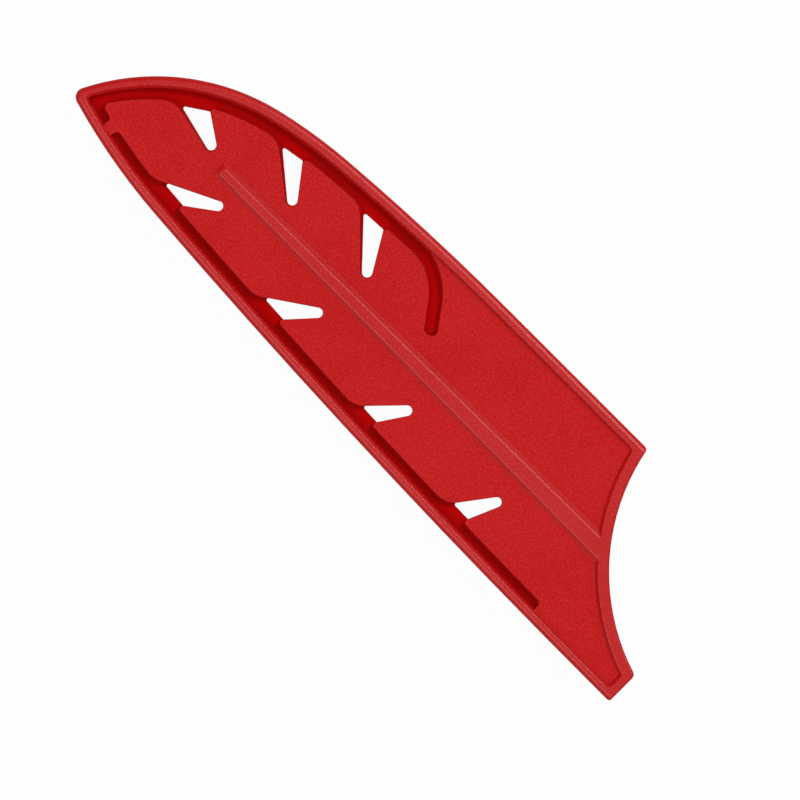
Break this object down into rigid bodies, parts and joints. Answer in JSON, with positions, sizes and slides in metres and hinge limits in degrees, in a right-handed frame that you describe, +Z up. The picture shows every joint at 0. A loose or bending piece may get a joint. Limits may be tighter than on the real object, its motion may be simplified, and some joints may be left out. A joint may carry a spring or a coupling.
{
  "type": "knife blade guard",
  "caption": "Slim moulded plastic sheath with a rounded rim, lobed panels, slanted drain slots and a centre rib, open at the heel end for a kitchen knife blade.",
  "frame": {"origin": "centre of the bounding box on its lowest plane, which is the crest of the back shell's rim and rib", "axes": "+X along the blade from the tip towards the open mouth, +Y from the cutting edge towards the spine, +Z up out of the pictured face"},
  "size_m": [0.2, 0.051, 0.0088],
  "materials": {
    "front_plastic": "fine matt grain",
    "back_plastic": "fine matt grain"
  },
  "bodies": {
    "root": {"front_shell": "front_plastic", "back_shell": "back_plastic"}
  },
  "joints": []
}
